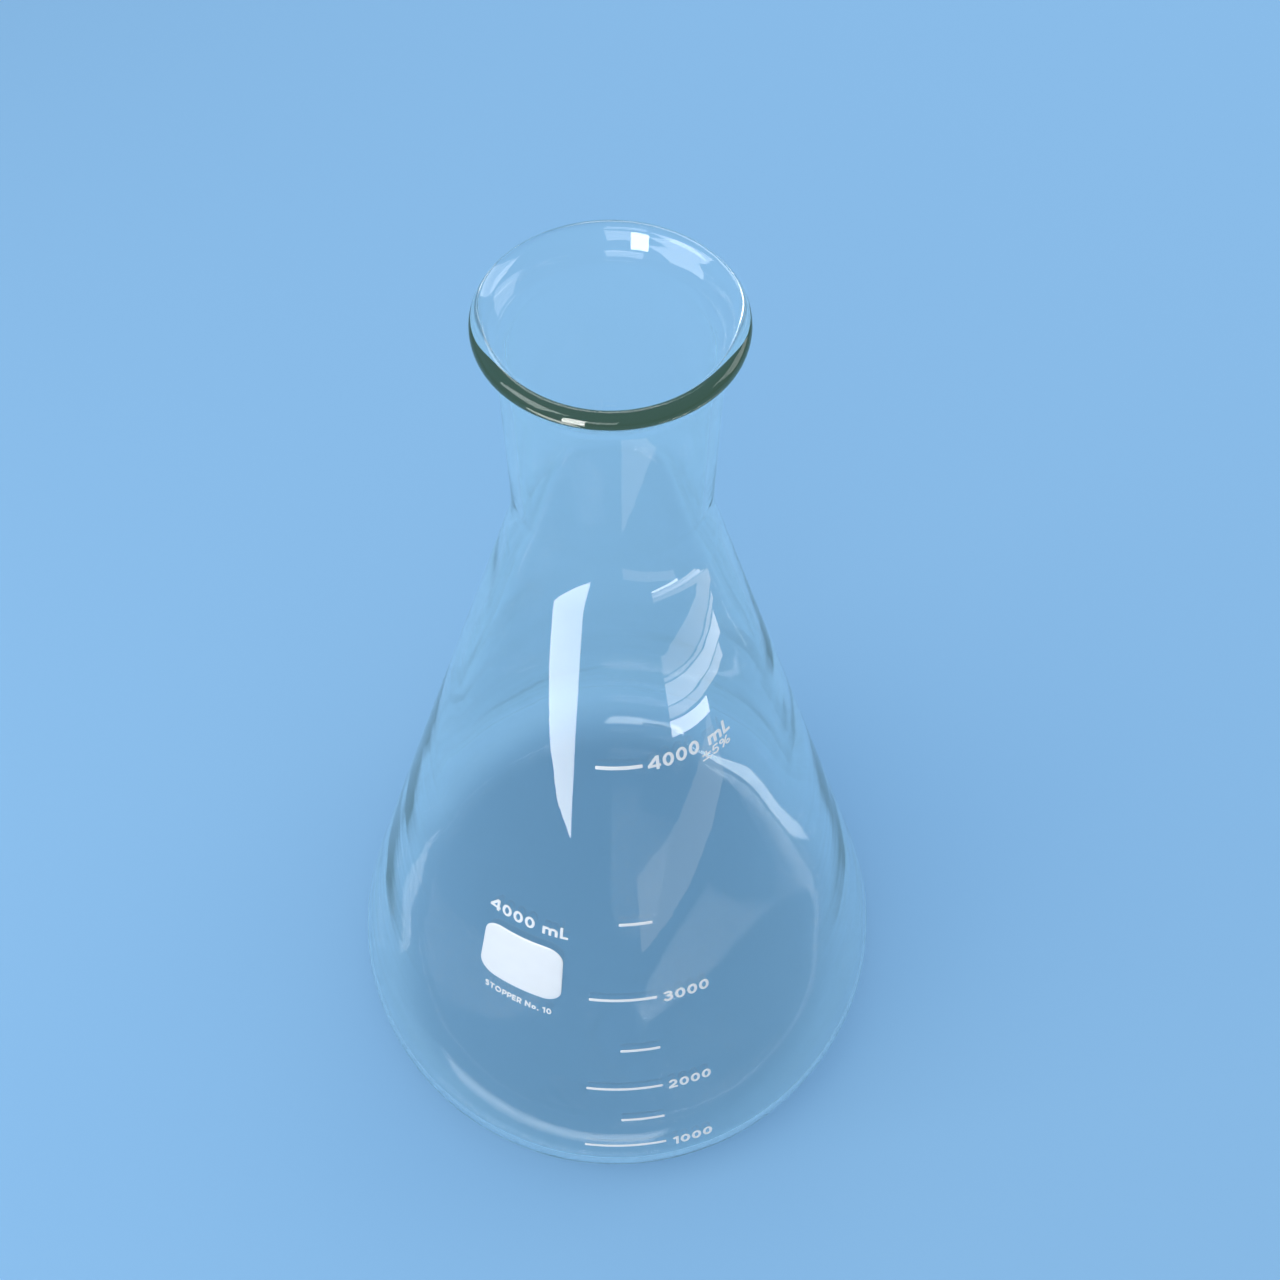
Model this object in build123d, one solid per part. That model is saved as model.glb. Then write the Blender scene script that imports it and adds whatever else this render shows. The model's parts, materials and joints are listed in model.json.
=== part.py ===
"""A 4000 mL Erlenmeyer flask of blown glass with white enamel markings.

Millimetres, +Z up. The origin is the middle of the circle on which the flask stands, and the graduations
face -Y. The glass is one solid turned about Z. Its section is made of arcs and straight lines that are
tangent to each other: punt, heel, cone, shoulder, neck, flare and bead.
"""

from build123d import *
import math
import os

# Overall sizes of the glass
height = 356.0
body_diameter = 206.0
neck_diameter = 48.0

# Heel, shoulder and bottom
heel_radius = 22.5
shoulder_radius = 60.0
neck_length = 54.0  # from the shoulder's upper end to the top of the rim
standing_ring_width = 4.0
punt_rise = 3.0  # how far the middle of the bottom is pushed up

# Wall thicknesses
body_wall = 2.8
neck_wall = 2.4
floor_thickness = 3.4

# Rim
rim_overhang = 4.6  # how far the rim stands out beyond the neck
bead_diameter = 4.2
flare_height = 9.0  # from the neck's straight part up to the middle of the bead

# Graduations, in millilitres and millimetres
first_graduation = 1000.0
graduation_step = 500.0
line_thickness = 1.3
line_right_edge = 9.7  # degrees to the right of the front
long_line_span = 17.3  # degrees
short_line_span = 9.5  # degrees
filling_layer = 0.02  # height of the thin layers in which the flask is filled to find its levels

# Marking patch
patch_bottom = 124.2
patch_height = 27.3
patch_azimuth = -26.3  # degrees from the front, to the left
patch_span = 23.2  # degrees
patch_corner_radius = 6.0

# Fired enamel, which lies on the glass
enamel_thickness = 0.2
enamel_clearance = 0.03  # keeps the enamel's curved face out of the glass's

FRONT = -90.0  # azimuth of -Y in degrees


def heel_centre():
    """Centre of the heel's arcs, outside and inside, as radius and height."""
    return body_diameter / 2 - heel_radius, heel_radius


def shoulder_centre():
    """Centre of the shoulder's arcs, outside and inside, as radius and height."""
    return neck_diameter / 2 + shoulder_radius, height - neck_length


def bead_centre():
    """Centre of the bead's round section, as radius and height."""
    return neck_diameter / 2 + rim_overhang - bead_diameter / 2, height - bead_diameter / 2


def on_circle(centre, radius, angle):
    """Point of a circle in the section, at an angle from the outward direction in radians."""
    return centre[0] + radius * math.cos(angle), centre[1] + radius * math.sin(angle)


def towards(start, end):
    """Angle of the direction from one point of the section to another."""
    return math.atan2(end[1] - start[1], end[0] - start[0])


def cone_slope(heel_arc, shoulder_arc):
    """Angle above the horizontal of the normal of the line that touches the heel's arc from outside and
    the shoulder's arc from inside, which is also the cone's half angle."""
    a, b = heel_centre(), shoulder_centre()
    return towards(a, b) - math.acos((heel_arc + shoulder_arc) / math.dist(a, b))


def dome_radius():
    """Radius of the inner floor's dome, which is level on the axis and runs smoothly into the heel."""
    r, z = heel_centre()
    heel_arc = heel_radius - body_wall
    top = punt_rise + floor_thickness
    return (r**2 + (z - top) ** 2 - heel_arc**2) / (2 * (heel_arc - z + top))


def bottom_outside():
    """Underside: the pushed-up middle and the flat standing ring, and the point where the heel starts."""
    heel_start = (heel_centre()[0], 0.0)
    ring_inside = (heel_start[0] - standing_ring_width, 0.0)
    dome = (ring_inside[0] ** 2 + punt_rise**2) / (2 * punt_rise)
    middle = (0.0, punt_rise - dome)
    halfway = on_circle(middle, dome, (towards(middle, ring_inside) + math.pi / 2) / 2)
    edges = [ThreePointArc((0, punt_rise), halfway, ring_inside), Line(ring_inside, heel_start)]
    return edges, heel_start


def bottom_inside():
    """Floor of the hollow: one shallow dome, and the point where the heel starts."""
    top, dome = punt_rise + floor_thickness, dome_radius()
    middle = (0.0, top - dome)
    angle = towards(middle, heel_centre())
    heel_start = on_circle(middle, dome, angle)
    halfway = on_circle(middle, dome, (angle + math.pi / 2) / 2)
    return [ThreePointArc((0, top), halfway, heel_start)], heel_start


def side(heel_start, heel_arc, shoulder_arc, neck_radius, flare_radius, outside):
    """Heel, cone, shoulder, neck and flare, as edges and the point where they meet the bead.

    The flare's arc touches the bead from outside on the outer surface, and wraps it on the inner one.
    """
    heel, shoulder, bead = heel_centre(), shoulder_centre(), bead_centre()
    slope = cone_slope(heel_arc, shoulder_arc)
    heel_half = on_circle(heel, heel_arc, (slope + towards(heel, heel_start)) / 2)
    cone_start = on_circle(heel, heel_arc, slope)
    cone_end = on_circle(shoulder, shoulder_arc, slope + math.pi)
    shoulder_half = on_circle(shoulder, shoulder_arc, slope / 2 + math.pi)
    neck_start = (neck_radius, shoulder[1])

    flare_start = (neck_radius, bead[1] - flare_height)
    flare_middle = (neck_radius + flare_radius, flare_start[1])
    flare_angle = towards(flare_middle, bead)
    flare_half = on_circle(flare_middle, flare_radius, (flare_angle + math.pi) / 2)
    touch_angle = flare_angle + math.pi if outside else flare_angle
    flare_end = on_circle(bead, bead_diameter / 2, touch_angle)

    edges = [
        ThreePointArc(heel_start, heel_half, cone_start),
        Line(cone_start, cone_end),
        ThreePointArc(cone_end, shoulder_half, neck_start),
        Line(neck_start, flare_start),
        ThreePointArc(flare_start, flare_half, flare_end),
    ]
    return edges, flare_end


def flare_radii():
    """Radii of the flare's outer arc, which touches the bead, and of its inner arc, which wraps it."""
    bead_radius = bead_diameter / 2
    outer_step = bead_centre()[0] - neck_diameter / 2
    inner_step = outer_step + neck_wall
    outer = (outer_step**2 + flare_height**2 - bead_radius**2) / (2 * (outer_step + bead_radius))
    inner = (inner_step**2 + flare_height**2 - bead_radius**2) / (2 * (inner_step - bead_radius))
    return outer, inner


def flask_body():
    """The glass, turned about Z from its closed section."""
    outer_flare, inner_flare = flare_radii()
    neck = neck_diameter / 2
    underside, outer_start = bottom_outside()
    floor, inner_start = bottom_inside()
    outer_arcs = (heel_radius, shoulder_radius, neck, outer_flare)
    inner_arcs = (heel_radius - body_wall, shoulder_radius + neck_wall, neck - neck_wall, inner_flare)
    outer_side, outer_end = side(outer_start, *outer_arcs, outside=True)
    inner_side, inner_end = side(inner_start, *inner_arcs, outside=False)
    bead = bead_centre()
    bead_top = on_circle(bead, bead_diameter / 2, (towards(bead, outer_end) + towards(bead, inner_end)) / 2)
    rim = ThreePointArc(outer_end, bead_top, inner_end)
    middle = Line((0, punt_rise), (0, punt_rise + floor_thickness))
    section = make_face([*underside, *outer_side, rim, *inner_side, *floor, middle])
    return revolve(Plane.XZ * section, Axis.Z)


def inner_radius(z):
    """Radius of the hollow at a height below the shoulder's arc."""
    heel_arc = heel_radius - body_wall
    slope = cone_slope(heel_arc, shoulder_radius + neck_wall)
    centre = heel_centre()
    start = on_circle(centre, heel_arc, slope)
    if z < start[1]:
        return centre[0] + math.sqrt(max(heel_arc**2 - (z - centre[1]) ** 2, 0.0))
    return start[0] - (z - start[1]) * math.tan(slope)


def floor_dome_radius(z):
    """Radius at a height of the dome that the pushed-up bottom makes in the hollow."""
    top = punt_rise + floor_thickness
    if z >= top:
        return 0.0
    dome = dome_radius()
    return math.sqrt(dome**2 - (z - top + dome) ** 2)


def graduations():
    """Volume in millilitres and level of every line, found by filling the cone in thin layers."""
    slope = cone_slope(heel_radius - body_wall, shoulder_radius + neck_wall)
    cone_top = on_circle(shoulder_centre(), shoulder_radius + neck_wall, slope + math.pi)[1]
    marks, volume, level = [], 0.0, body_wall
    following = first_graduation
    while level < cone_top - line_thickness:
        middle = level + filling_layer / 2
        ring = inner_radius(middle) ** 2 - floor_dome_radius(middle) ** 2
        volume += math.pi * ring * filling_layer / 1000
        level += filling_layer
        if volume >= following:
            marks.append((following, level))
            following += graduation_step
    return marks


def cone_radius(z):
    """Radius of the glass at a height of the cone's straight part."""
    slope = cone_slope(heel_radius, shoulder_radius)
    start = on_circle(heel_centre(), heel_radius, slope)
    return start[0] - (z - start[1]) * math.tan(slope)


def cone_sector(low, high, span):
    """Enamel on the cone between two heights, as wide as a span in degrees about the front."""
    slope = cone_slope(heel_radius, shoulder_radius)
    film_start, film_end = enamel_clearance, enamel_clearance + enamel_thickness
    corners = [
        on_circle((cone_radius(low), low), film_start, slope),
        on_circle((cone_radius(high), high), film_start, slope),
        on_circle((cone_radius(high), high), film_end, slope),
        on_circle((cone_radius(low), low), film_end, slope),
    ]
    face = Plane.XZ * make_face(Polyline(*corners, close=True))
    return Rot(0, 0, FRONT - span / 2) * revolve(face, Axis.Z, span)


def graduation_lines():
    """One thin line for every graduation: long ones at the even steps, short ones between them."""
    lines = []
    for number, (_, level) in enumerate(graduations()):
        span = long_line_span if number % 2 == 0 else short_line_span
        half = line_thickness / 2
        line = cone_sector(level - half, level + half, span)
        lines.append(Rot(0, 0, line_right_edge - span / 2) * line)
    return Compound(lines)


def marking_patch():
    """The blank enamel patch to write on: four rounded corners and sides that follow the cone."""
    top = patch_bottom + patch_height
    half_angle = math.radians(patch_span / 2)
    low_half = cone_radius(patch_bottom) * math.sin(half_angle)
    top_half = cone_radius(top) * math.sin(half_angle)
    corners = [(-low_half, patch_bottom), (low_half, patch_bottom), (top_half, top), (-top_half, top)]
    outline = make_face(Polyline(*corners, close=True))
    outline = fillet(outline.vertices(), patch_corner_radius)
    die = extrude(Plane.XZ * outline, body_diameter / 2)
    overlap = 2 * enamel_thickness
    coat = cone_sector(patch_bottom - overlap, top + overlap, 2 * patch_span)
    return Rot(0, 0, patch_azimuth) * (coat & die)


def main():
    parts = {
        "flask_body": flask_body(),
        "graduation_lines": graduation_lines(),
        "marking_patch": marking_patch(),
    }
    os.makedirs("parts", exist_ok=True)
    for name, shape in parts.items():
        shape.label = name
        export_step(shape, f"parts/{name}.step")
    for volume, level in graduations():
        print(f"{volume:.0f} mL at {level:.1f} mm")
    slope = math.degrees(cone_slope(heel_radius, shoulder_radius))
    print(f"cone half angle {slope:.2f} degrees")


main()
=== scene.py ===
"""Looks of a 4000 mL Erlenmeyer flask: clear blown glass with fired white enamel print.

Metres, +Z up, graduations facing -Y. Azimuths are counted from the front, in radians, and grow to the right.
"""

import json
import math

import bpy
import numpy as np
from mathutils import Matrix, Vector


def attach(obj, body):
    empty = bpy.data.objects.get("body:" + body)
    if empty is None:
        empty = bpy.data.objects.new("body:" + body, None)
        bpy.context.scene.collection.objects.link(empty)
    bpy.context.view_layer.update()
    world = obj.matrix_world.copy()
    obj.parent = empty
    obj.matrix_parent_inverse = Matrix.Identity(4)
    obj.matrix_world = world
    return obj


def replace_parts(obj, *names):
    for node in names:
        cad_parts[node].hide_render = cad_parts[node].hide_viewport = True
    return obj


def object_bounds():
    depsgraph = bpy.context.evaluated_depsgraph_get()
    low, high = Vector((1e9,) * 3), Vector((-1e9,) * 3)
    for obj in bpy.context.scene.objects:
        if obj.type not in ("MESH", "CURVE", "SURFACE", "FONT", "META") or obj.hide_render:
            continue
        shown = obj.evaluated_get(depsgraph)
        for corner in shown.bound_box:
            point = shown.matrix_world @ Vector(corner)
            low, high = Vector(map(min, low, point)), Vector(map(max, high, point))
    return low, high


bl_info = {
    "name": "Erlenmeyer Flask",
    "version": (1, 0, 0),
    "blender": (4, 5, 0),
    "location": "View3D > Sidebar > Flask",
    "description": "Blown laboratory flask with volume lines, numerals and a patch to write on",
    "category": "Add Mesh",
}

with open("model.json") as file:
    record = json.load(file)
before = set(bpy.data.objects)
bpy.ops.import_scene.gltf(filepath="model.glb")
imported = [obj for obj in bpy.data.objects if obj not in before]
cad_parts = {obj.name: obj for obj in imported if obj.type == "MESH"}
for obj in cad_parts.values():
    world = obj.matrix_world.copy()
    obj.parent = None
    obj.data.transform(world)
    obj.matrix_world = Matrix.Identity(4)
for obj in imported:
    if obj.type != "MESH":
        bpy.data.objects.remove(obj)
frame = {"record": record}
SOLID_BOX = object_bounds()
MOUTH = next(mount for mount in frame["record"]["mounts"] if mount["name"] == "mouth")
MM = 0.001
DEGREE = math.pi / 180
FULL_TURN = 2 * math.pi
MILLILITRES = 1e6  # in a cubic metre


def length(name, description, default):
    """A length property in metres."""
    return bpy.props.FloatProperty(
        name=name, description=description, default=default, unit="LENGTH", precision=5
    )


def angle(name, description, default):
    """An angle property in radians."""
    return bpy.props.FloatProperty(
        name=name, description=description, default=default, subtype="ANGLE", unit="ROTATION"
    )


def colour(name, description, default):
    """A colour property."""
    return bpy.props.FloatVectorProperty(
        name=name, description=description, default=default, subtype="COLOR", size=3, min=0.0, max=1.0
    )


def number(name, description, default, **more):
    """A number property. more holds its limits and its unit."""
    return bpy.props.FloatProperty(name=name, description=description, default=default, **more)


class FlaskGlass(bpy.types.PropertyGroup):
    """Section of the glass and the finish of the blown surface."""

    height: length("Height", "Bench to the top of the rim", SOLID_BOX[1].z)
    body_diameter: length("Body diameter", "Widest place of the heel", 2 * SOLID_BOX[1].x)
    bore: length("Bore", "Inside diameter of the neck", 2 * MOUTH["dims"]["r_mm"] * MM)
    neck_wall: length("Neck wall", "Glass thickness in the neck", 2.4 * MM)
    body_wall: length("Body wall", "Glass thickness along the cone", 2.8 * MM)
    floor_thickness: length("Floor thickness", "Glass thickness in the middle of the bottom", 3.4 * MM)
    heel_radius: length("Heel radius", "Outer arc between bottom and cone", 22.5 * MM)
    shoulder_radius: length("Shoulder radius", "Outer arc between cone and neck", 60 * MM)
    neck_length: length("Neck length", "Upper end of the shoulder to the top of the rim", 54 * MM)
    ring_width: length("Standing ring", "Width of the flat ring that touches the bench", 4 * MM)
    punt_rise: length("Punt rise", "How far the middle of the bottom is pushed up", 3 * MM)
    rim_overhang: length("Rim overhang", "How far the rim stands out beyond the neck", 4.6 * MM)
    bead_diameter: length("Bead", "Thickness of the fire-polished bead", 4.2 * MM)
    flare_height: length("Flare", "Straight neck to the middle of the bead", 9 * MM)
    wall_wave: length("Wall wave", "How far the inner wall wanders", 0.16 * MM)
    # Edge colour and Edge glow are a painted glow: every face of the glass emits this faint green light, in
    # place of the light that the wall guides up to the bead.
    glow: colour("Edge colour", "Colour of the painted glow that stands in for the light the wall guides to the bead", (0.36, 0.72, 0.52))
    painted_glow_strength: number("Edge glow", "Strength of that painted glow at each face of the glass", 0.01, min=0.0)
    tint: colour("Tint", "Colour that thick glass takes", (0.62, 0.90, 0.74))
    tint_density: number("Tint density", "Absorption per metre", 5.0, min=0.0)
    shade: colour("Shade", "Share of the lamps' light that passes one face of the glass", (0.92, 0.96, 1.0))
    refraction: number("Refraction", "Index of refraction of borosilicate glass", 1.473, min=1.0)


class FlaskPrint(bpy.types.PropertyGroup):
    """Places and sizes of the fired enamel."""

    first_volume: number("First line", "Volume at the lowest line, in millilitres", 1000.0)
    volume_step: number("Step", "Volume between lines, in millilitres", 500.0)
    last_volume: number("Last line", "Volume at the highest line, in millilitres", 4000.0)
    line_thickness: length("Line thickness", "Height of a volume line", 1.3 * MM)
    lines_end: angle("Lines end", "Azimuth of the lines' right ends", 9.7 * DEGREE)
    long_line: angle("Long line", "Angle that a long line spans", 17.3 * DEGREE)
    short_line: angle("Short line", "Angle that a short line spans", 9.5 * DEGREE)
    patch_low: length("Patch foot", "Height of the patch's lower edge", 124.2 * MM)
    patch_high: length("Patch top", "Height of the patch's upper edge", 151.5 * MM)
    patch_azimuth: angle("Patch azimuth", "Middle of the patch", -26.3 * DEGREE)
    patch_span: angle("Patch span", "Angle that the patch spans", 23.2 * DEGREE)
    patch_corner: length("Patch corner", "Radius of the patch's corners", 6 * MM)
    bold_pen: number("Bold pen", "Stroke of numerals and words, as a share of their height", 0.19)
    fine_pen: number("Fine pen", "Stroke of the tolerance, as a share of its height", 0.13)
    proud: length("Film thickness", "How far the enamel stands out of the glass", 0.14 * MM)
    bite: length("Fused depth", "How far the enamel is fused into the glass", 0.03 * MM)
    enamel: colour("Enamel", "Colour of the fired enamel", (0.92, 0.94, 0.95))


class FlaskStage(bpy.types.PropertyGroup):
    """Floor, light and camera."""

    floor_colour: colour("Floor", "Colour of the plain floor", (0.24, 0.48, 0.78))
    sky: number("Ambient light", "Strength of the even light from all sides", 0.47, min=0.0)
    key_power: number("Key light", "Power of the large soft light", 13.0, min=0.0, unit="POWER")
    fill_power: number("Fill light", "Power of the soft light on the right", 5.0, min=0.0, unit="POWER")
    card_strength: number("Cards", "Brightness of the tall card that the cone mirrors", 9.0, min=0.0)
    camera_distance: length("Camera distance", "Flask's axis to the camera, level", 193.6 * MM)
    camera_height: length("Camera height", "Bench to the camera", 547.3 * MM)
    camera_pan: angle("Camera pan", "Turned to the right", 0.037)
    camera_tilt: angle("Camera tilt", "Turned up from the level", -1.0221)
    camera_roll: angle("Camera roll", "Turned about the line of sight", 0.0193)
    camera_lens: number("Camera lens", "Focal length on a 36 mm sensor", 37.11, unit="CAMERA")


def arc(centre, radius, start, end, count):
    """Points of a circle: its centre plus radius times (cosine, sine) of evenly spaced angles."""
    angles = np.linspace(start, end, count)
    return np.stack([centre[0] + radius * np.cos(angles), centre[1] + radius * np.sin(angles)], axis=1)


def straight(start, end, count):
    """Evenly spaced points between two points, without the two."""
    share = np.linspace(0, 1, count + 2)[1:-1, None]
    return (1 - share) * np.array(start) + share * np.array(end)


def towards(start, end):
    """Angle of the direction from one point of the section to another."""
    return math.atan2(end[1] - start[1], end[0] - start[0])


def centres(g):
    """Centres of the heel, the shoulder and the bead, as radius and height."""
    neck = g.bore / 2 + g.neck_wall
    heel = (g.body_diameter / 2 - g.heel_radius, g.heel_radius)
    shoulder = (neck + g.shoulder_radius, g.height - g.neck_length)
    bead = (neck + g.rim_overhang - g.bead_diameter / 2, g.height - g.bead_diameter / 2)
    return heel, shoulder, bead


def cone_slope(g, heel_arc, shoulder_arc):
    """Half angle of the line that touches the heel's arc from outside and the shoulder's from inside."""
    heel, shoulder, _ = centres(g)
    return towards(heel, shoulder) - math.acos((heel_arc + shoulder_arc) / math.dist(heel, shoulder))


def outer_cone(g):
    """Radius of the outer cone where it leaves the heel, the height of that place, and the slope."""
    slope = cone_slope(g, g.heel_radius, g.shoulder_radius)
    heel = centres(g)[0]
    return heel[0] + g.heel_radius * math.cos(slope), heel[1] + g.heel_radius * math.sin(slope), slope


def flare_arc(g, neck, bead_side):
    """Centre, radius and last angle of a flare's arc: it starts upright on the neck and touches the bead,
    from outside where bead_side is +1, and round it where bead_side is -1."""
    bead, bead_radius = centres(g)[2], g.bead_diameter / 2
    step = bead[0] - neck
    radius = (step**2 + g.flare_height**2 - bead_radius**2) / (2 * (step + bead_side * bead_radius))
    centre = (neck + radius, bead[1] - g.flare_height)
    return centre, radius, towards(centre, bead)


def wall_side(g, heel_arc, shoulder_arc, neck, bead_side, heel_from, cone_rows):
    """Heel, cone, shoulder, neck and flare of one side of the wall, from below to the bead."""
    heel_rows, shoulder_rows, tube_rows, flare_rows = 22, 10, 10, 14
    heel, shoulder, _ = centres(g)
    slope = cone_slope(g, heel_arc, shoulder_arc)
    heel_points = arc(heel, heel_arc, heel_from, slope, heel_rows)
    shoulder_points = arc(shoulder, shoulder_arc, slope + math.pi, math.pi, shoulder_rows)
    centre, radius, last = flare_arc(g, neck, bead_side)
    flare_points = arc(centre, radius, math.pi, last, flare_rows)
    cone = straight(heel_points[-1], shoulder_points[0], cone_rows)
    tube = straight(shoulder_points[-1], flare_points[0], tube_rows)
    return np.concatenate([heel_points, cone, shoulder_points, tube, flare_points]), last


def floor_dome(g):
    """Height of the centre and radius of the inner floor's dome, which runs smoothly into the heel."""
    heel = centres(g)[0]
    heel_arc, top = g.heel_radius - g.body_wall, g.punt_rise + g.floor_thickness
    radius = (heel[0] ** 2 + (heel[1] - top) ** 2 - heel_arc**2) / (2 * (heel_arc - heel[1] + top))
    return top - radius, radius


def glass_section(g):
    """Closed section from the axis over the underside, outer wall, bead and inner wall back to the axis,
    and how far each point belongs to the inner wall, from 0 to 1."""
    punt_rows, outer_cone_rows, inner_cone_rows, rim_rows, dome_rows = 12, 18, 72, 38, 14
    heel, _, bead = centres(g)
    ring_inside = heel[0] - g.ring_width
    punt_radius = (ring_inside**2 + g.punt_rise**2) / (2 * g.punt_rise)
    punt_centre = (0.0, g.punt_rise - punt_radius)
    punt = arc(punt_centre, punt_radius, math.pi / 2, towards(punt_centre, (ring_inside, 0.0)), punt_rows)
    ring = straight((ring_inside, 0.0), (heel[0], 0.0), 1)
    neck = g.bore / 2 + g.neck_wall
    outer_arcs = (g.heel_radius, g.shoulder_radius)
    outside, outer_last = wall_side(g, *outer_arcs, neck, 1, -math.pi / 2, outer_cone_rows)
    dome_height, dome_radius = floor_dome(g)
    dome_end = towards((0.0, dome_height), heel)
    inner_arcs = (g.heel_radius - g.body_wall, g.shoulder_radius + g.neck_wall)
    inside, inner_last = wall_side(g, *inner_arcs, g.bore / 2, -1, dome_end - math.pi, inner_cone_rows)
    rim = arc(bead, g.bead_diameter / 2, outer_last - math.pi, inner_last, rim_rows)[1:-1]
    dome = arc((0.0, dome_height), dome_radius, dome_end, math.pi / 2, dome_rows)[1:]
    outer_part = np.concatenate([punt, ring, outside, rim])
    inner_part = np.concatenate([inside[::-1], dome])
    inner = np.repeat([0.0, 1.0], [len(outer_part), len(inner_part)])
    return np.concatenate([outer_part, inner_part]), inner


def shell_faces(count, around, closed, offset):
    """Faces of one shell with rings of points: four-sided ones join neighbouring rings. A closed shell joins
    its last ring to its first. In an open one the two extra points after the rings are the poles, and
    triangles join each pole to the ring beside it. offset is the number of points before the shell's own."""
    j = np.arange(around)
    following = (j + 1) % around
    row = np.arange(count if closed else count - 1)[:, None] * around
    above = (row + around) % (count * around)
    quads = np.stack([row + j, row + following, above + following, above + j], axis=-1)
    faces = (quads.reshape(-1, 4) + offset).tolist()
    if closed:
        return faces
    pole, top = np.full(around, count * around), (count - 1) * around
    first_fan = np.stack([pole, following, j], axis=-1)
    last_fan = np.stack([top + j, top + following, pole + 1], axis=-1)
    return faces + (first_fan + offset).tolist() + (last_fan + offset).tolist()


def new_piece(name, vertices, faces, material):
    """Mesh object at the origin, put into the scene."""
    mesh = bpy.data.meshes.new(name)
    mesh.from_pydata(vertices, [], faces)
    mesh.materials.append(material)
    piece = bpy.data.objects.new(name, mesh)
    bpy.context.scene.collection.objects.link(piece)
    return piece


def mesh_from_shells(name, shells, material, smooth=True):
    """Piece made of closed shells. Each shell is rings[k, j] of points. Its first and last ring are single
    points, the poles, unless it is closed, which is when the two rings are the same."""
    vertices, faces = [], []
    for rings in shells:
        closed = np.allclose(rings[0], rings[-1])
        body = rings[:-1] if closed else rings[1:-1]
        poles = [] if closed else [rings[:1, 0], rings[-1:, 0]]
        offset = sum(len(part) for part in vertices)
        faces += shell_faces(*body.shape[:2], closed, offset)
        vertices.append(np.concatenate([body.reshape(-1, 3), *poles]))
    piece = new_piece(name, np.concatenate(vertices).tolist(), faces, material)
    piece.data.polygons.foreach_set("use_smooth", np.full(len(faces), smooth))
    piece.data.update()
    return piece


def turned(points, around, wander):
    """Rings of a section turned about Z: radius times (sine, minus cosine) of the azimuth, and the height.
    wander is added to the radius for each point and azimuth."""
    azimuth = np.linspace(0, FULL_TURN, around, endpoint=False)
    radius = points[:, :1] + wander
    height = np.repeat(points[:, 1:], around, axis=1)
    return np.stack([radius * np.sin(azimuth), -radius * np.cos(azimuth), height], axis=-1)


def wall_wander(g, points, inner, around):
    """How far blown glass wanders from the true inner wall: a sum of slow sine waves in azimuth and height.
    It fades in from 20 to 40 mm off the axis, and out over the 60 mm below a place 10 mm up the neck."""
    azimuth = np.linspace(0, FULL_TURN, around, endpoint=False)[None, :]
    height = points[:, 1:] / MM
    # share of the whole, waves round the flask, height in millimetres per radian, phase
    waves = [(0.45, 3, 31, 0.7), (0.30, 5, -17, 1.9), (0.15, 2, 7.5, 4.1), (0.10, 9, 24, 2.2)]
    wander = sum(
        share * np.sin(turns * azimuth + height / pitch + phase) for share, turns, pitch, phase in waves
    )
    shoulder = centres(g)[1][1] / MM
    below_shoulder = np.clip((shoulder + 10 - height) / 60, 0, 1)
    off_middle = np.clip((points[:, :1] / MM - 20) / 20, 0, 1)
    return g.wall_wave * wander * below_shoulder * off_middle * inner[:, None]


def on_cone(g, azimuth, height, depth):
    """Point of the outer cone at an azimuth and height, moved out along the cone's normal by depth."""
    slope = outer_cone(g)[2]
    radius = cone_radius(g, height) + depth * math.cos(slope)
    raised = height + depth * math.sin(slope)
    return np.stack([radius * np.sin(azimuth), -radius * np.cos(azimuth), raised], axis=-1)


def cone_radius(g, height):
    """Radius of the outer cone at a height."""
    start, start_height, slope = outer_cone(g)
    return start - (height - start_height) * math.tan(slope)


def rounded_outline(width, tall, corner, per_corner=10, per_side=14):
    """Points round a rectangle with round corners, anticlockwise from the lower right."""
    x, y = width / 2 - corner, tall / 2 - corner
    points = []
    for quarter, (cx, cy) in enumerate([(x, -y), (x, y), (-x, y), (-x, -y)]):
        start = (quarter - 1) * math.pi / 2
        points.append(arc((cx, cy), corner, start, start + math.pi / 2, per_corner))
    sides = [straight(points[i][-1], points[(i + 1) % 4][0], per_side) for i in range(4)]
    return np.concatenate([part for pair in zip(points, sides) for part in pair])


def film_rings(g, p, outline, azimuth, height):
    """Rings of a film of enamel: the outline grows from the middle of the fused side to full size, turns over
    a soft edge and shrinks to the middle of the outer side. Towards the edge the rings lie closer together,
    as a power of their place does."""
    soft_edge, steps, crowding = 0.12 * MM, 8, 0.7
    outward = np.linspace(0, 1, steps + 1)
    share = np.concatenate([outward**crowding, [1, 1, 1], (1 - outward) ** crowding])
    rise = np.concatenate([np.zeros(steps), [0.0, 0.25, 0.6, 0.9], np.ones(steps + 1)])
    depth = -p.bite + (p.bite + p.proud) * rise
    inset = soft_edge * np.concatenate([np.zeros(steps), [0.0, 0.05, 0.3, 0.7], np.ones(steps + 1)])
    reach = np.abs(outline).max(axis=0)
    flat = share[:, None, None] * (1 - inset[:, None, None] / reach) * outline
    middle = cone_radius(g, height)
    return on_cone(g, azimuth + flat[..., 0] / middle, height + flat[..., 1], depth[:, None])


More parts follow.
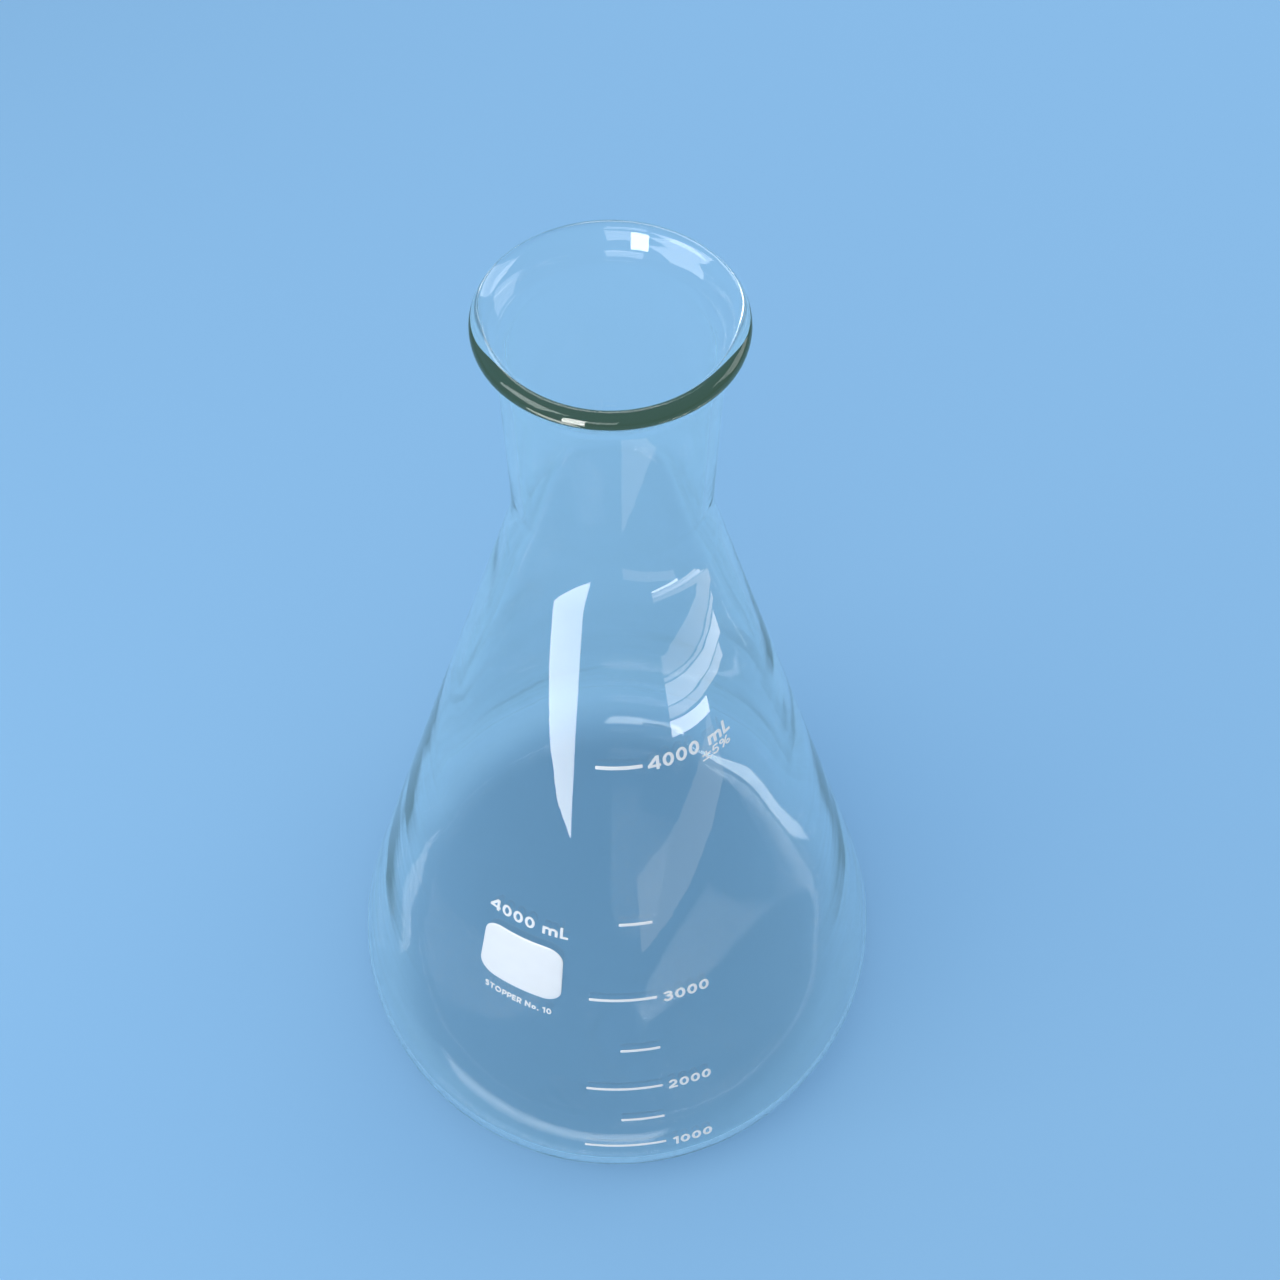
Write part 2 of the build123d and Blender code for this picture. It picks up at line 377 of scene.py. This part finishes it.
def line_levels(g, p):
    """Heights of the volume lines: the hollow is filled in thin layers, and the height at which each volume
    is reached is read from the running sum."""
    heel_arc, shoulder_arc = g.heel_radius - g.body_wall, g.shoulder_radius + g.neck_wall
    slope, heel = cone_slope(g, heel_arc, shoulder_arc), centres(g)[0]
    start = (heel[0] + heel_arc * math.cos(slope), heel[1] + heel_arc * math.sin(slope))
    dome_height, dome_radius = floor_dome(g)
    layer = 0.02 * MM
    z = np.arange(g.body_wall, g.height - g.neck_length - g.shoulder_radius * math.sin(slope), layer)
    low = heel[0] + np.sqrt(np.maximum(heel_arc**2 - (z - heel[1]) ** 2, 0))
    radius = np.where(z < start[1], low, start[0] - (z - start[1]) * math.tan(slope))
    dome = np.maximum(dome_radius**2 - (z - dome_height) ** 2, 0) * (z < dome_height + dome_radius)
    volume = np.cumsum(math.pi * (radius**2 - dome) * layer) * MILLILITRES
    marks = np.arange(p.first_volume, p.last_volume + 1, p.volume_step)
    return marks, np.interp(marks, volume, z)


def bow(x, y, across, up, start, end, count=19):
    """Points of an ellipse's arc round (x, y), from one angle in degrees to another."""
    angles = np.radians(np.linspace(start, end, count))
    return np.stack([x + across * np.cos(angles), y + up * np.sin(angles)], axis=1)


def pen_paths(pen):
    """Wide geometric signs, one unit high, drawn with a pen whose strokes end square: for each sign its width
    and the paths of the pen's middle, made of straight lines and of ellipses' arcs. A path that ends where it
    starts is closed."""
    low, top = pen / 2, 1 - pen / 2
    waist, upper, lower = 0.555, 0.735, 0.32  # middle of 3 and S, and the centres of their two bows
    crown, belly = top - upper, waist - lower
    x_height, arch = 0.68, (0.95 - pen) / 4
    stem = [(low, 0), (low, 1)]
    bowl_middle, bowl_half = (top + 0.40) / 2, (top - 0.40) / 2
    bowl = [(low, top), (0.32, top), *bow(0.32, bowl_middle, 0.30 - low, bowl_half, 90, -90), (low, 0.40)]
    left_arch, right_arch = (
        [*bow(low + side * arch, 0.42, arch, x_height - low - 0.42, 165, 0), (low + (side + 1) * arch, 0)]
        for side in (1, 3)
    )
    three = [*bow(0.27, upper, 0.21, crown, 155, -90), *bow(0.27, lower, 0.33 - low, belly, 90, -155)]
    letter_s = [*bow(0.27, upper, 0.20, crown, 30, 270), *bow(0.27, lower, 0.29 - low, belly, 90, -150)]
    two = [*bow(0.31, 0.66, 0.29 - low, top - 0.66, 165, -50), (0.09, low)]
    five = bow(0.29, 0.33, 0.31 - low, 0.33 - low, 140, -150)
    upper_ring, lower_ring = bow(0.21, 0.76, 0.17, 0.18, 0, 360), bow(0.74, 0.24, 0.17, 0.18, 0, 360)
    return {
        " ": (0.24, []),
        ".": (pen, [[(low, 0), (low, pen)]]),
        "0": (0.64, [bow(0.32, 0.5, 0.32 - low, top - 0.5, 0, 360, 37)]),
        "1": (0.34, [[(0.34 - low, 0), (0.34 - low, 1)], [(0, 0.76), (0.34 - low, 0.93)]]),
        "2": (0.62, [two, [(0.02, low), (0.62, low)]]),
        "3": (0.60, [three]),
        "4": (0.70, [[(0.54, 0), (0.54, 1)], [(0.52, 0.95), (0.06, 0.29)], [(0, 0.27), (0.70, 0.27)]]),
        "5": (0.60, [[(0.13, top), (0.56, top)], [(0.17, top), (0.11, 0.50)], five]),
        "%": (0.95, [upper_ring, lower_ring, [(0.23, 0), (0.72, 1)]]),
        "±": (0.70, [[(0.35, 0.25), (0.35, 0.95)], [(0, 0.60), (0.70, 0.60)], [(0, low), (0.70, low)]]),
        "m": (0.95, [[(low, 0), (low, x_height)], left_arch, right_arch]),
        "o": (0.58, [bow(0.29, 0.33, 0.29 - low, 0.33 - low, 0, 360, 31)]),
        "E": (0.50, [stem, [(low, top), (0.50, top)], [(low, 0.5), (0.46, 0.5)], [(low, low), (0.50, low)]]),
        "L": (0.50, [[(low, 1), (low, low), (0.50, low)]]),
        "N": (0.72, [stem, [(0.72 - low, 0), (0.72 - low, 1)], [(low, 1 - low), (0.72 - low, low)]]),
        "O": (0.86, [bow(0.43, 0.5, 0.43 - low, top - 0.5, 0, 360, 37)]),
        "P": (0.55, [stem, bowl]),
        "R": (0.58, [stem, bowl, [(0.28, 0.42), (0.52, 0)]]),
        "S": (0.56, [letter_s]),
        "T": (0.60, [[(0, top), (0.60, top)], [(0.30, 0), (0.30, top)]]),
    }


def pen_outline(path, pen):
    """Left and right edge of a pen's path: half the pen's width off it, along the normal. At a corner the two
    normals' sum is divided by one plus their dot product, which keeps the width. A closed path's ends share
    one normal."""
    least_divisor = 0.35  # so that a sharp corner's edge stays near
    path = np.array(path, dtype=float)
    path = path[np.concatenate([[True], np.abs(np.diff(path, axis=0)).sum(axis=1) > 1e-6])]
    step = np.diff(path, axis=0)
    normal = np.stack([-step[:, 1], step[:, 0]], axis=1) / np.linalg.norm(step, axis=1)[:, None]
    closed = np.allclose(path[0], path[-1])
    before = np.concatenate([normal[-1:] if closed else normal[:1], normal])
    after = np.concatenate([normal, normal[:1] if closed else normal[-1:]])
    across = (before + after) / np.maximum(1 + (before * after).sum(axis=1), least_divisor)[:, None]
    return path + across * pen / 2, path - across * pen / 2


def printed_words(name, words, g, p, material, azimuth, low, width, tall, pen):
    """Words in enamel. Every pen stroke is a shell with a four-cornered section, which is fused into the
    glass below and a little narrower above. The line of signs is fitted to a width and a height and bent onto
    the cone, where x is an arc's length, y a height and the thickness a depth along the normal."""
    signs, gap, bevel = pen_paths(pen), 0.12, 0.08
    strokes, at = [], 0.0
    for sign in words:
        sign_width, paths = signs[sign]
        strokes += [[edge + (at, 0) for edge in pen_outline(path, pen)] for path in paths]
        at += sign_width + gap
    scale = np.array([width / (at - gap), tall])
    shells = []
    for left, right in strokes:
        top_left, top_right = left + bevel * (right - left), right + bevel * (left - right)
        corners = np.stack([top_left, top_right, right, left], axis=1) * scale
        depth = np.tile([p.proud, p.proud, -p.bite, -p.bite], (len(corners), 1))
        if not np.allclose(left[0], left[-1]):
            poles = np.repeat(corners[[0, -1]].mean(axis=1, keepdims=True), 4, axis=1)
            corners = np.concatenate([poles[:1], corners, poles[1:]])
            depth = np.pad(depth, ((1, 1), (0, 0)), constant_values=(p.proud - p.bite) / 2)
        bend = azimuth + corners[..., 0] / cone_radius(g, low + tall / 2)
        shells.append(on_cone(g, bend, low + corners[..., 1], depth))
    return mesh_from_shells(name, shells, material, smooth=False)


class NodeBench:
    """Adds nodes to a tree and joins them, so that a material reads from top to bottom."""

    def __init__(self, tree):
        self.tree = tree

    def add(self, kind, **values):
        """New node. A value whose name is a socket sets that socket, by a link if it is one."""
        node = self.tree.nodes.new(kind)
        for name, value in values.items():
            socket = node.inputs.get(name.replace("_", " "))
            if socket is None or hasattr(node, name):
                setattr(node, name, value)
            elif isinstance(value, bpy.types.NodeSocket):
                self.tree.links.new(value, socket)
            else:
                socket.default_value = value
        return node

    def math(self, operation, first, second=0.0, third=0.0):
        """Result socket of a Math node."""
        node = self.tree.nodes.new("ShaderNodeMath")
        node.operation = operation
        for socket, value in zip(node.inputs, (first, second, third)):
            if isinstance(value, bpy.types.NodeSocket):
                self.tree.links.new(value, socket)
            else:
                socket.default_value = value
        return node.outputs[0]

    def noise(self, vector, scale, detail):
        """Noise value from 0 to 1."""
        node = self.add("ShaderNodeTexNoise", Scale=scale, Detail=detail)
        self.tree.links.new(vector, node.inputs["Vector"])
        return node.outputs["Fac"]

    def group(self, inner, values):
        """Node of a shader node group, with its own values."""
        node = self.tree.nodes.new("ShaderNodeGroup")
        node.node_tree = inner
        for name, value in values.items():
            node.inputs[name].default_value = value
        return node

    def stretch(self, vector, scale):
        """The vector with each axis multiplied by its scale."""
        node = self.add("ShaderNodeMapping", Scale=scale)
        self.tree.links.new(vector, node.inputs["Vector"])
        return node.outputs["Vector"]


def empty_tree(owner):
    """Node tree of a new material or world, with nothing in it."""
    owner.use_nodes = True
    owner.node_tree.nodes.clear()
    return owner.node_tree


def group_tree(name, inputs, outputs):
    """Shader node group with named sockets. Each socket is given as kind, name and default."""
    tree = bpy.data.node_groups.new(name, "ShaderNodeTree")
    for kind, label, default in inputs:
        socket = tree.interface.new_socket(label, in_out="INPUT", socket_type=kind)
        socket.default_value = default
    for kind, label in outputs:
        tree.interface.new_socket(label, in_out="OUTPUT", socket_type=kind)
    return tree, tree.nodes.new("NodeGroupInput").outputs, tree.nodes.new("NodeGroupOutput").inputs


def surface_mottle():
    """Unevenness that glass and enamel share: Mask wanders slowly from 0 to 1, and Grain is fine noise."""
    found = bpy.data.node_groups.get("surface_mottle")
    if found:
        return found
    inputs = [("NodeSocketFloat", "Slow Scale", 30.0), ("NodeSocketFloat", "Fine Scale", 1500.0)]
    outputs = [("NodeSocketFloat", "Mask"), ("NodeSocketFloat", "Grain")]
    tree, given, result = group_tree("surface_mottle", inputs, outputs)
    bench = NodeBench(tree)
    place = tree.nodes.new("ShaderNodeTexCoord").outputs["Object"]
    tree.links.new(bench.noise(place, given["Slow Scale"], 1.0), result["Mask"])
    tree.links.new(bench.noise(place, given["Fine Scale"], 2.0), result["Grain"])
    return tree


def glass_material(g):
    """Clear borosilicate glass. Its bump has the level ripples that a turned and blown wall keeps, and slow
    dents. Light from lamps passes through it, and thick places take a faint green tint.
    Every face also carries a painted glow, a faint green emission that stands in for the light the wall
    guides up to the bead."""
    material = bpy.data.materials.new("clear_borosilicate")
    tree = empty_tree(material)
    bench = NodeBench(tree)
    place = tree.nodes.new("ShaderNodeTexCoord").outputs["Object"]
    ripples = bench.noise(bench.stretch(place, (6.0, 6.0, 90.0)), 1.0, 2.0)
    dents = bench.group(surface_mottle(), {"Slow Scale": 34.0}).outputs["Mask"]
    height = bench.math("MULTIPLY_ADD", ripples, 0.3, dents)
    bump = bench.add("ShaderNodeBump", Strength=0.12, Distance=0.0006, Height=height)
    glass = bench.add("ShaderNodeBsdfPrincipled", Roughness=0.0, IOR=g.refraction)
    glass.inputs["Base Color"].default_value = (0.985, 0.995, 0.99, 1)
    glass.inputs["Transmission Weight"].default_value = 1.0
    # painted glow: every face emits a faint green light, standing in for the light that the wall guides up to
    # the bead
    glass.inputs["Emission Color"].default_value = (*g.glow, 1)
    glass.inputs["Emission Strength"].default_value = g.painted_glow_strength
    material.cycles.emission_sampling = "NONE"
    tree.links.new(bump.outputs["Normal"], glass.inputs["Normal"])
    clear = bench.add("ShaderNodeBsdfTransparent", Color=(*g.shade, 1))
    path = tree.nodes.new("ShaderNodeLightPath")
    mixed = tree.nodes.new("ShaderNodeMixShader")
    tree.links.new(path.outputs["Is Shadow Ray"], mixed.inputs[0])
    tree.links.new(glass.outputs["BSDF"], mixed.inputs[1])
    tree.links.new(clear.outputs["BSDF"], mixed.inputs[2])
    inside = bench.add("ShaderNodeVolumeAbsorption", Color=(*g.tint, 1), Density=g.tint_density)
    output = tree.nodes.new("ShaderNodeOutputMaterial")
    tree.links.new(mixed.outputs[0], output.inputs["Surface"])
    tree.links.new(inside.outputs["Volume"], output.inputs["Volume"])
    return material


def enamel_material(p):
    """White fired enamel: slightly uneven in colour, with a fine sandy skin and a soft gloss."""
    found = bpy.data.materials.get("white_enamel")
    if found:
        return found
    material = bpy.data.materials.new("white_enamel")
    material.use_nodes = True
    tree = material.node_tree
    bench = NodeBench(tree)
    enamel = tree.nodes["Principled BSDF"]
    mottle = bench.group(surface_mottle(), {"Slow Scale": 160.0, "Fine Scale": 3800.0})
    shade = bench.add("ShaderNodeMix", data_type="RGBA")
    tree.links.new(mottle.outputs["Mask"], shade.inputs["Factor"])
    thin, full = (socket for socket in shade.inputs if socket.type == "RGBA")
    thin.default_value = (*[0.95 * part for part in p.enamel], 1)
    full.default_value = (*p.enamel, 1)
    shaded = next(socket for socket in shade.outputs if socket.type == "RGBA")
    tree.links.new(shaded, enamel.inputs["Base Color"])
    roughness = bench.math("MULTIPLY_ADD", mottle.outputs["Grain"], 0.25, 0.3)
    tree.links.new(roughness, enamel.inputs["Roughness"])
    bump = bench.add("ShaderNodeBump", Strength=0.4, Distance=0.00004, Height=mottle.outputs["Grain"])
    tree.links.new(bump.outputs["Normal"], enamel.inputs["Normal"])
    enamel.inputs["IOR"].default_value = 1.5
    return material


def own(piece):
    """The piece belongs to the flask: it is attached to the root body."""
    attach(piece, "root")
    return piece


class FLASK_OT_glass(bpy.types.Operator):
    """Makes the blown glass from its section"""

    bl_idname = "flask.glass"
    bl_label = "Glass Body"

    def execute(self, context):
        g = context.scene.flask_glass
        points, inner = glass_section(g)
        around = 320
        rings = turned(points, around, wall_wander(g, points, inner, around))
        piece = mesh_from_shells("glass_body", [rings], glass_material(g))
        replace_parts(own(piece), "flask_body")
        return {"FINISHED"}


class FLASK_OT_lines(bpy.types.Operator):
    """Makes the enamel lines at the levels that the volumes reach"""

    bl_idname = "flask.lines"
    bl_label = "Volume Lines"

    def execute(self, context):
        g, p = context.scene.flask_glass, context.scene.flask_print
        material = enamel_material(p)
        corner = 0.25 * MM
        for index, (volume, level) in enumerate(zip(*line_levels(g, p))):
            span = p.long_line if index % 2 == 0 else p.short_line
            width = span * cone_radius(g, level)
            outline = rounded_outline(width, p.line_thickness, corner, per_side=20)
            rings = film_rings(g, p, outline, p.lines_end - span / 2, level)
            piece = own(mesh_from_shells(f"line_{volume:.0f}_mL", [rings], material))
            if index == 0:
                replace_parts(piece, "graduation_lines")
        return {"FINISHED"}


class FLASK_OT_patch(bpy.types.Operator):
    """Makes the enamel patch to write on"""

    bl_idname = "flask.patch"
    bl_label = "Writing Patch"

    def execute(self, context):
        g, p = context.scene.flask_glass, context.scene.flask_print
        middle = (p.patch_low + p.patch_high) / 2
        width = p.patch_span * cone_radius(g, middle)
        outline = rounded_outline(width, p.patch_high - p.patch_low, p.patch_corner)
        rings = film_rings(g, p, outline, p.patch_azimuth, middle)
        piece = mesh_from_shells("writing_patch", [rings], enamel_material(p))
        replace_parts(own(piece), "marking_patch")
        return {"FINISHED"}


class FLASK_OT_numerals(bpy.types.Operator):
    """Makes the numerals beside the lines and the words round the patch"""

    bl_idname = "flask.numerals"
    bl_label = "Numerals and Words"

    def execute(self, context):
        g, p = context.scene.flask_glass, context.scene.flask_print
        material = enamel_material(p)
        volumes, levels = line_levels(g, p)
        patch_low, patch_high = p.patch_low / MM, p.patch_high / MM
        line = {int(volume): level / MM for volume, level in zip(volumes.round(), levels)}
        bold, fine = p.bold_pen, p.fine_pen
        # name, words, azimuth in degrees, foot, width and height in millimetres, pen
        prints = [
            ("numeral_1000", "1000", 11.3, line[1000] - 3.6, 14.9, 5.1, bold),
            ("numeral_2000", "2000", 11.0, line[2000] - 3.0, 15.6, 5.1, bold),
            ("numeral_3000", "3000", 11.3, line[3000] - 3.2, 15.4, 5.1, bold),
            ("numeral_4000", "4000", 11.6, line[4000] - 2.2, 14.9, 5.0, bold),
            ("unit_at_line", "mL", 36.2, line[4000] - 2.2, 7.6, 5.0, bold),
            ("tolerance", "±5%", 32.7, line[4000] - 6.6, 9.7, 3.3, fine),
            ("capacity", "4000 mL", -37.7, patch_high + 6.4, 26.4, 5.3, bold),
            ("stopper_size", "STOPPER No. 10", -35.3, patch_low - 7.9, 24.4, 3.0, bold),
        ]
        for name, words, azimuth, low, width, tall, pen in prints:
            place = (azimuth * DEGREE, low * MM, width * MM, tall * MM)
            own(printed_words(name, words, g, p, material, *place, pen))
        return {"FINISHED"}


def soft_light(name, place, target, across, up, power):
    """Rectangular soft white light turned to a target. The camera doesn't see it, but glass mirrors it."""
    lamp = bpy.data.lights.new(name, "AREA")
    lamp.shape = "RECTANGLE"
    lamp.size, lamp.size_y, lamp.energy = across, up, power
    light = bpy.data.objects.new(name, lamp)
    light.location = place
    light.rotation_mode = "QUATERNION"
    light.rotation_quaternion = (Vector(target) - Vector(place)).to_track_quat("-Z", "Y")
    light.visible_camera = False
    bpy.context.scene.collection.objects.link(light)


def light_card(name, corners, strength, tint=(1.0, 1.0, 1.0)):
    """Flat bright card through its corners, which only mirrored rays see."""
    material = bpy.data.materials.new(name)
    tree = empty_tree(material)
    glow = NodeBench(tree).add("ShaderNodeEmission", Color=(*tint, 1), Strength=strength)
    output = tree.nodes.new("ShaderNodeOutputMaterial")
    tree.links.new(glow.outputs[0], output.inputs["Surface"])
    card = new_piece(name, corners, [range(len(corners))], material)
    card.visible_camera = False
    card.visible_diffuse = False
    card.visible_transmission = False
    card.visible_shadow = False


def curved_strip(low, start, end, near_start, near_end, deep, count=14):
    """Corners of a level strip that curves round the flask from one azimuth in degrees to another. The
    distance of its near edge from the axis changes evenly, and its far edge lies deeper by one length."""
    azimuth = np.radians(np.linspace(start, end, count))
    near = np.linspace(near_start, near_end, count)
    distance = np.concatenate([near, (near + deep)[::-1]])
    around = np.concatenate([azimuth, azimuth[::-1]])
    heights = np.full(2 * count, low)
    return np.stack([distance * np.sin(around), -distance * np.cos(around), heights], axis=1).tolist()


def floor_material(stage):
    """Plain matt floor."""
    material = bpy.data.materials.new("plain_floor")
    material.use_nodes = True
    paint = material.node_tree.nodes["Principled BSDF"]
    paint.inputs["Base Color"].default_value = (*stage.floor_colour, 1)
    paint.inputs["Roughness"].default_value = 0.7
    paint.inputs["Specular IOR Level"].default_value = 0.0
    return material


def sky(stage):
    """Even light. The camera, mirrored rays and rays through the glass see the floor's colour instead. It is
    lighter on the left and darker towards the horizon, which draws the edges of the glass: its strength is
    (1 - 0.3 X) times (0.52 + 1.2 times the direction's height or depth, which counts up to 0.4)."""
    world = bpy.data.worlds.new("studio")
    tree = empty_tree(world)
    bench = NodeBench(tree)
    path = tree.nodes.new("ShaderNodeLightPath").outputs
    seen = bench.math("MAXIMUM", path["Is Camera Ray"], path["Is Glossy Ray"])
    seen = bench.math("MAXIMUM", seen, path["Is Transmission Ray"])
    way = tree.nodes.new("ShaderNodeSeparateXYZ")
    tree.links.new(tree.nodes.new("ShaderNodeTexCoord").outputs["Generated"], way.inputs[0])
    sides = bench.math("MULTIPLY_ADD", way.outputs["X"], -0.3, 1.0)
    height = bench.math("MINIMUM", bench.math("ABSOLUTE", way.outputs["Z"]), 0.4)
    strength = bench.math("MULTIPLY", sides, bench.math("MULTIPLY_ADD", height, 1.2, 0.52))
    even = bench.add("ShaderNodeBackground", Color=(1, 1, 1, 1), Strength=stage.sky)
    backdrop = bench.add("ShaderNodeBackground", Color=(*stage.floor_colour, 1), Strength=strength)
    mixed = tree.nodes.new("ShaderNodeMixShader")
    tree.links.new(seen, mixed.inputs[0])
    tree.links.new(even.outputs[0], mixed.inputs[1])
    tree.links.new(backdrop.outputs[0], mixed.inputs[2])
    output = tree.nodes.new("ShaderNodeOutputWorld")
    tree.links.new(mixed.outputs[0], output.inputs["Surface"])
    bpy.context.scene.world = world


def view_camera(stage):
    """Camera from its distance, height, pan, tilt, roll and lens. Its columns are right, up and back."""
    pan, tilt, roll = stage.camera_pan, stage.camera_tilt, stage.camera_roll
    forward = Vector((math.sin(pan) * math.cos(tilt), math.cos(pan) * math.cos(tilt), math.sin(tilt)))
    right = Vector((math.cos(pan), -math.sin(pan), 0.0))
    up = right.cross(forward)
    right, up = math.cos(roll) * right + math.sin(roll) * up, math.cos(roll) * up - math.sin(roll) * right
    data = bpy.data.cameras.new("camera")
    data.sensor_width, data.lens = 36.0, stage.camera_lens
    data.clip_start, data.clip_end = 0.01, 20.0
    camera = bpy.data.objects.new("camera", data)
    turn = Matrix((right, up, -forward)).transposed().to_4x4()
    camera.matrix_world = Matrix.Translation((0, -stage.camera_distance, stage.camera_height)) @ turn
    bpy.context.scene.collection.objects.link(camera)
    bpy.context.scene.camera = camera


def make_floor(stage):
    """Wide square floor, a hair below the flask so that the two faces don't meet."""
    side, drop = 6.0, -0.2 * MM
    corners = [(-side, -side, drop), (side, -side, drop), (side, side, drop), (-side, side, drop)]
    new_piece("floor", corners, [(0, 1, 2, 3)], floor_material(stage))


def make_lights(stage):
    """Large soft lights on all four sides, turned to the flask's lower half."""
    middle, weak = (0.0, 0.0, 0.15), 0.9 * stage.fill_power
    soft_light("key_light", (-1.0, -0.3, 1.4), middle, 0.9, 0.9, stage.key_power)
    soft_light("fill_light", (1.2, 0.4, 1.0), middle, 0.7, 0.9, stage.fill_power)
    soft_light("front_light", (-0.3, -1.3, 1.0), middle, 0.8, 0.5, weak)
    soft_light("back_light", (0.3, 1.4, 0.9), middle, 0.9, 0.6, weak)


def make_cards(stage):
    """Bright cards that the glass mirrors: a wide one on the floor at the front left for the tall streak on
    the cone, an upright one behind it for the glint in the far rim, curved slats at the right, and a faint
    curved band in front."""
    full, low = stage.card_strength, 2 * MM
    tall = [(-0.13, -0.31, low), (-0.52, -0.95, low), (-1.7, -0.95, low), (-0.60, -0.33, low)]
    light_card("tall_card", tall, full)
    foot, head = 10 * MM, 1.1
    upright = [(-0.66, -0.97, foot), (-0.34, -1.02, foot), (-0.34, -1.02, head), (-0.66, -0.97, head)]
    light_card("upright_card", upright, 2.2 * full)
    # distance of the near edge from the first slat's, depth in millimetres, last azimuth, share of brightness
    slats = [(0, 20, 63, 0.85), (24, 15, 84, 0.36), (41, 24, 88, 0.45), (68, 7, 92, 0.3), (78, 34, 96, 0.22)]
    first_azimuth, first_distance, inward_per_degree = 35, 425, 1.4
    for index, (further, deep, last_azimuth, share) in enumerate(slats):
        near_start = first_distance + further
        near_end = near_start - inward_per_degree * (last_azimuth - first_azimuth)
        sizes = (near_start * MM, near_end * MM, deep * MM)
        strip = curved_strip(low, first_azimuth, last_azimuth, *sizes)
        light_card(f"slat_{index + 1}", strip, share * full)
    band = curved_strip(low, 9, 62, 250 * MM, 330 * MM, 62 * MM)
    light_card("pale_card", band, 0.16 * full, (0.8, 0.9, 1.0))


def follow_light(cycles):
    """How far light is followed through the glass. The lamps' light passes through it by shadow rays, so
    caustics stay off."""
    cycles.caustics_reflective = False
    cycles.caustics_refractive = False
    cycles.max_bounces = 16
    cycles.diffuse_bounces = 2
    cycles.glossy_bounces = 10
    cycles.transmission_bounces = 12


class FLASK_OT_stage(bpy.types.Operator):
    """Makes the floor, the soft lights, the cards and the camera"""

    bl_idname = "flask.stage"
    bl_label = "Stage"

    def execute(self, context):
        stage = context.scene.flask_stage
        make_floor(stage)
        make_lights(stage)
        make_cards(stage)
        sky(stage)
        view_camera(stage)
        follow_light(context.scene.cycles)
        context.scene.view_settings.view_transform = "Standard"
        return {"FINISHED"}


class FLASK_PT_panel(bpy.types.Panel):
    """Sizes, colours and steps of the flask"""

    bl_label = "Erlenmeyer Flask"
    bl_idname = "FLASK_PT_panel"
    bl_space_type = "VIEW_3D"
    bl_region_type = "UI"
    bl_category = "Flask"

    def draw(self, context):
        for step in STEPS:
            self.layout.operator(step.bl_idname)
        for settings in ("flask_glass", "flask_print", "flask_stage"):
            group = getattr(context.scene, settings)
            box = self.layout.box()
            for name in group.__annotations__:
                box.prop(group, name)


STEPS = (FLASK_OT_glass, FLASK_OT_lines, FLASK_OT_patch, FLASK_OT_numerals, FLASK_OT_stage)
CLASSES = (FlaskGlass, FlaskPrint, FlaskStage, *STEPS, FLASK_PT_panel)


def register():
    for part in CLASSES:
        bpy.utils.register_class(part)
    bpy.types.Scene.flask_glass = bpy.props.PointerProperty(type=FlaskGlass)
    bpy.types.Scene.flask_print = bpy.props.PointerProperty(type=FlaskPrint)
    bpy.types.Scene.flask_stage = bpy.props.PointerProperty(type=FlaskStage)


def unregister():
    del bpy.types.Scene.flask_stage
    del bpy.types.Scene.flask_print
    del bpy.types.Scene.flask_glass
    for part in reversed(CLASSES):
        bpy.utils.unregister_class(part)


def main():
    """Makes every piece and the stage."""
    register()
    bpy.ops.flask.glass()
    bpy.ops.flask.lines()
    bpy.ops.flask.patch()
    bpy.ops.flask.numerals()
    bpy.ops.flask.stage()


if __name__ == "__main__":
    main()
